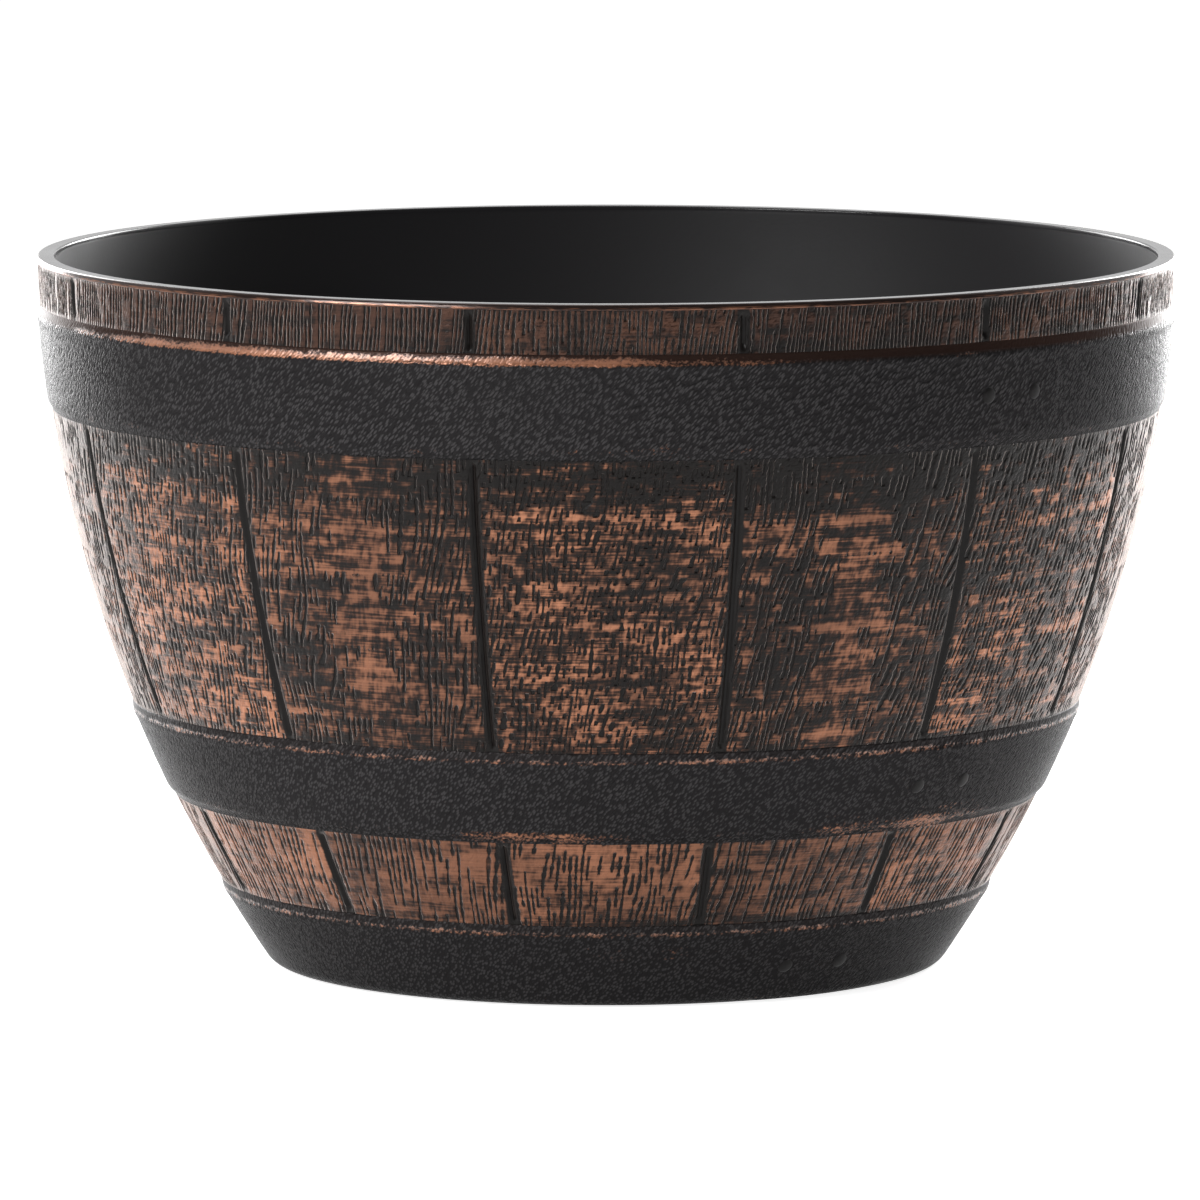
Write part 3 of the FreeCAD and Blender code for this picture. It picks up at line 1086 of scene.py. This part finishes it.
def tub_inside(finish):
    """The lip, the inside wall and the floor with its drain holes."""
    def smooth(place, spot):
        return 0.0

    rows = hidden_rows() + lip_rows() + bowl_rows()
    piece = turned("tub_inside", rows, turned_tree("tub_inside", smooth), finish, INSIDE_COLUMNS)
    cut_drains(piece)
    piece.data.set_sharp_from_angle(angle=SHARP_INSIDE * DEGREE)
    belongs_to_tub(piece)


def rib_tree():
    """Geometry nodes that set bars round the axis, from the middle outwards."""
    tree, given = new_tree("floor_ribs", Count="Int", Length="Float", Thickness="Float",
                           Height="Float", Finish="Material")
    length = Flow(tree, given["Length"]) * MM
    thickness = Flow(tree, given["Thickness"]) * MM
    height = Flow(tree, given["Height"]) * MM
    bar = add(tree, "GeometryNodeMeshCube", {"Size": vector(tree, length, thickness, height)})
    place = vector(tree, length * 0.5, 0.0, height * -0.5 + (FLOOR_LOW + RIB_BEDDING) * MM)
    laid = add(tree, "GeometryNodeTransform", {"Geometry": bar.outputs["Mesh"],
                                               "Translation": place})
    spots = add(tree, "GeometryNodeMeshLine", {"Count": given["Count"], "Offset": (0, 0, 0)})
    index = Flow(tree, add(tree, "GeometryNodeInputIndex").outputs[0])
    turn = (index + 0.5) / Flow(tree, given["Count"]) * (2 * math.pi)
    bars = add(tree, "GeometryNodeInstanceOnPoints",
               {"Points": spots.outputs[0], "Instance": laid.outputs[0],
                "Rotation": vector(tree, 0.0, 0.0, turn)})
    real = add(tree, "GeometryNodeRealizeInstances", {"Geometry": bars.outputs[0]})
    give_out(tree, real.outputs[0], given["Finish"])
    return tree


def floor_ribs(finish):
    """Ribs under the floor, between the drains."""
    length, thickness, height = RIB_SIZE
    piece = grown("floor_ribs", rib_tree(), bpy.data.meshes.new("floor_ribs"), Count=DRAIN_COUNT,
                  Length=length, Thickness=thickness, Height=height + RIB_BEDDING, Finish=finish)
    belongs_to_tub(piece)


# Drain plugs

PLUG_PROFILE = (  # radius and height
    (0.0, 6.0), (5.8, 6.0), (6.7, 6.4), (6.95, 7.2), (6.95, 12.4), (7.2, 12.8), (7.6, 13.02),
    (10.5, 13.02), (10.9, 13.3), (11.0, 13.8), (10.9, 14.5), (10.4, 15.0), (9.6, 15.2), (0.0, 15.2))
TAB_FOOT = 14.6
TAB_HEIGHT = 7.5
TAB_WIDTH = 14.0
TAB_TAPER = 5.0
TAB_THICKNESS = 3.0
TAB_ROUND = 0.9


def plug_head(work):
    """Turned head and stem."""
    verts = [work.verts.new((r * MM, 0, z * MM)) for r, z in PLUG_PROFILE]
    edges = [work.edges.new(pair) for pair in zip(verts, verts[1:])]
    bmesh.ops.spin(work, geom=verts + edges, cent=(0, 0, 0), axis=(0, 0, 1), angle=2 * math.pi,
                   steps=64, use_merge=True)
    bmesh.ops.remove_doubles(work, verts=work.verts, dist=1e-6)
    bmesh.ops.recalc_face_normals(work, faces=work.faces)


def plug_tab(work):
    """Tapered tab with rounded edges."""
    tab = bmesh.ops.create_cube(work, size=1.0)["verts"]
    for vert in tab:
        share = vert.co.z + 0.5
        width = TAB_WIDTH - TAB_TAPER * share
        vert.co = Vector((vert.co.x * width, vert.co.y * TAB_THICKNESS,
                          TAB_FOOT + TAB_HEIGHT * share)) * MM
    edges = list({edge for vert in tab for edge in vert.link_edges})
    bmesh.ops.bevel(work, geom=edges, offset=TAB_ROUND * MM, segments=3, profile=0.5,
                    affect="EDGES")


def drain_plug(number, spot, angle, finish):
    """Rubber bung with a tab to pull it by."""
    work = bmesh.new()
    plug_head(work)
    plug_tab(work)
    bmesh.ops.rotate(work, verts=work.verts, cent=(0, 0, 0), matrix=Matrix.Rotation(angle, 3, "Z"))
    bmesh.ops.translate(work, verts=work.verts, vec=spot * MM)
    mesh = bpy.data.meshes.new("drain_bung_%d" % number)
    work.to_mesh(mesh)
    work.free()
    for face in mesh.polygons:
        face.use_smooth = True
    mesh.set_sharp_from_angle(angle=SHARP_PLUG * DEGREE)
    mesh.materials.append(finish)
    piece = link(bpy.data.objects.new("drain_bung_%d" % number, mesh))
    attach(piece, "plug_%d" % number)
    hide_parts("drain_plug_%d" % number)


# Build

stave_pieces(UPPER, groups=(6, 7), column_step=0.45, row_step=1.0)
stave_pieces(MIDDLE, groups=(3, 3, 4, 3), column_step=0.56, row_step=0.9)
stave_pieces(LOWER, groups=(6, 7), column_step=0.56, row_step=0.8)
band_hoop(TOP, TOP_HOOP, spacing=0.74)
band_hoop(WAIST, MIDDLE_HOOP, spacing=0.66)
base_hoop(spacing=0.66)
rivets()
smooth_resin = inside_finish()
tub_inside(smooth_resin)
floor_ribs(smooth_resin)
rubber = rubber_finish()
for plug_number, (plug_spot, plug_angle) in enumerate(drain_spots(), start=1):
    drain_plug(plug_number, plug_spot, plug_angle, rubber)


# Studio, in metres and watts

SOFTBOXES = (  # name, place, aim, width, height, power
    ("left_softbox", (-0.9, 1.5, 0.5), (0, 0, 0.14), 0.8, 1.5, 34),
    ("right_softbox", (0.9, 1.5, 0.5), (0, 0, 0.14), 0.8, 1.5, 52),
    ("top_softbox", (-0.45, 0.1, 2.1), (0, 0, 0.1), 1.2, 1.2, 16),
    ("key_softbox", (-1.45, -1.5, 0.90), (0, 0, 0.14), 1.2, 0.24, 25),
)
ROOM_FRONT = 0.12  # how bright the room in front looks where it is mirrored
ROOM_TURNS_WHITE = (-0.25, 0.30)  # from front to back, as a direction's northward share
ROOM_LIGHT = 0.18  # how much the room lights matt surfaces
FLOOR_HALF = 20
FLOOR_DROP = 0.0005
FLOOR_GLOW = 0.88


def softbox(name, place, aim, width, height, power):
    lamp = bpy.data.lights.new(name, "AREA")
    lamp.shape = "RECTANGLE"
    lamp.size = width
    lamp.size_y = height
    lamp.energy = power
    holder = link(bpy.data.objects.new(name, lamp))
    holder.location = place
    holder.rotation_euler = (Vector(aim) - Vector(place)).to_track_quat("-Z", "Y").to_euler()


def ray_kinds(tree):
    """1 for a ray from the camera, and 1 for a ray that was mirrored or let through."""
    rays = add(tree, "ShaderNodeLightPath").outputs
    seen, glossy, through = (Flow(tree, rays["Is %s Ray" % kind])
                             for kind in ("Camera", "Glossy", "Transmission"))
    return seen, glossy.math("MAXIMUM", through)


def room():
    """White surroundings, which are dim in front where the planter mirrors them."""
    world = bpy.data.worlds.new("studio")
    world.use_nodes = True
    bpy.context.scene.world = world
    tree = world.node_tree
    seen, mirrored = ray_kinds(tree)
    _, north, _ = parts_of(tree, add(tree, "ShaderNodeTexCoord").outputs["Generated"])
    backdrop = north.rise(*ROOM_TURNS_WHITE) * (1.0 - ROOM_FRONT) + ROOM_FRONT
    unseen = mirrored * backdrop + (1.0 - mirrored) * ROOM_LIGHT
    feed_all(tree, tree.nodes["Background"],
             {"Color": WHITE, "Strength": seen + (1.0 - seen) * unseen})


def pale_floor():
    """Floor that looks white to the camera and in the planter's gloss."""
    work = bmesh.new()
    bmesh.ops.create_grid(work, x_segments=1, y_segments=1, size=FLOOR_HALF)
    mesh = bpy.data.meshes.new("floor")
    work.to_mesh(mesh)
    work.free()
    floor = link(bpy.data.objects.new("floor", mesh))
    floor.location.z = -FLOOR_DROP
    material, tree, shader = new_material("floor_white")
    seen, mirrored = ray_kinds(tree)
    feed_all(tree, shader, {
        "Base Color": FLOOR_WHITE,
        "Roughness": 0.9,
        "Specular IOR Level": 0.0,
        "Emission Color": WHITE,
        "Emission Strength": seen.math("MAXIMUM", mirrored) * FLOOR_GLOW,
    })
    mesh.materials.append(material)


# The photograph's view, from the front and a little above

CAMERA_PLACE = (-2.16, -4302, 631.7)
CAMERA_DIP = 6.690
SENSOR_WIDTH = 36.0
FOCAL_LENGTH = 368.99
FARTHEST = 100.0  # in metres


def camera():
    lens = bpy.data.cameras.new("camera")
    lens.sensor_width = SENSOR_WIDTH
    lens.lens = FOCAL_LENGTH
    lens.clip_end = FARTHEST
    holder = link(bpy.data.objects.new("camera", lens))
    holder.location = [value * MM for value in CAMERA_PLACE]
    holder.rotation_euler = ((90 - CAMERA_DIP) * DEGREE, 0, 0)
    bpy.context.scene.camera = holder


room()
for box in SOFTBOXES:
    softbox(*box)
pale_floor()
camera()
bpy.context.scene.view_settings.view_transform = "Standard"

bpy.context.view_layer.update()
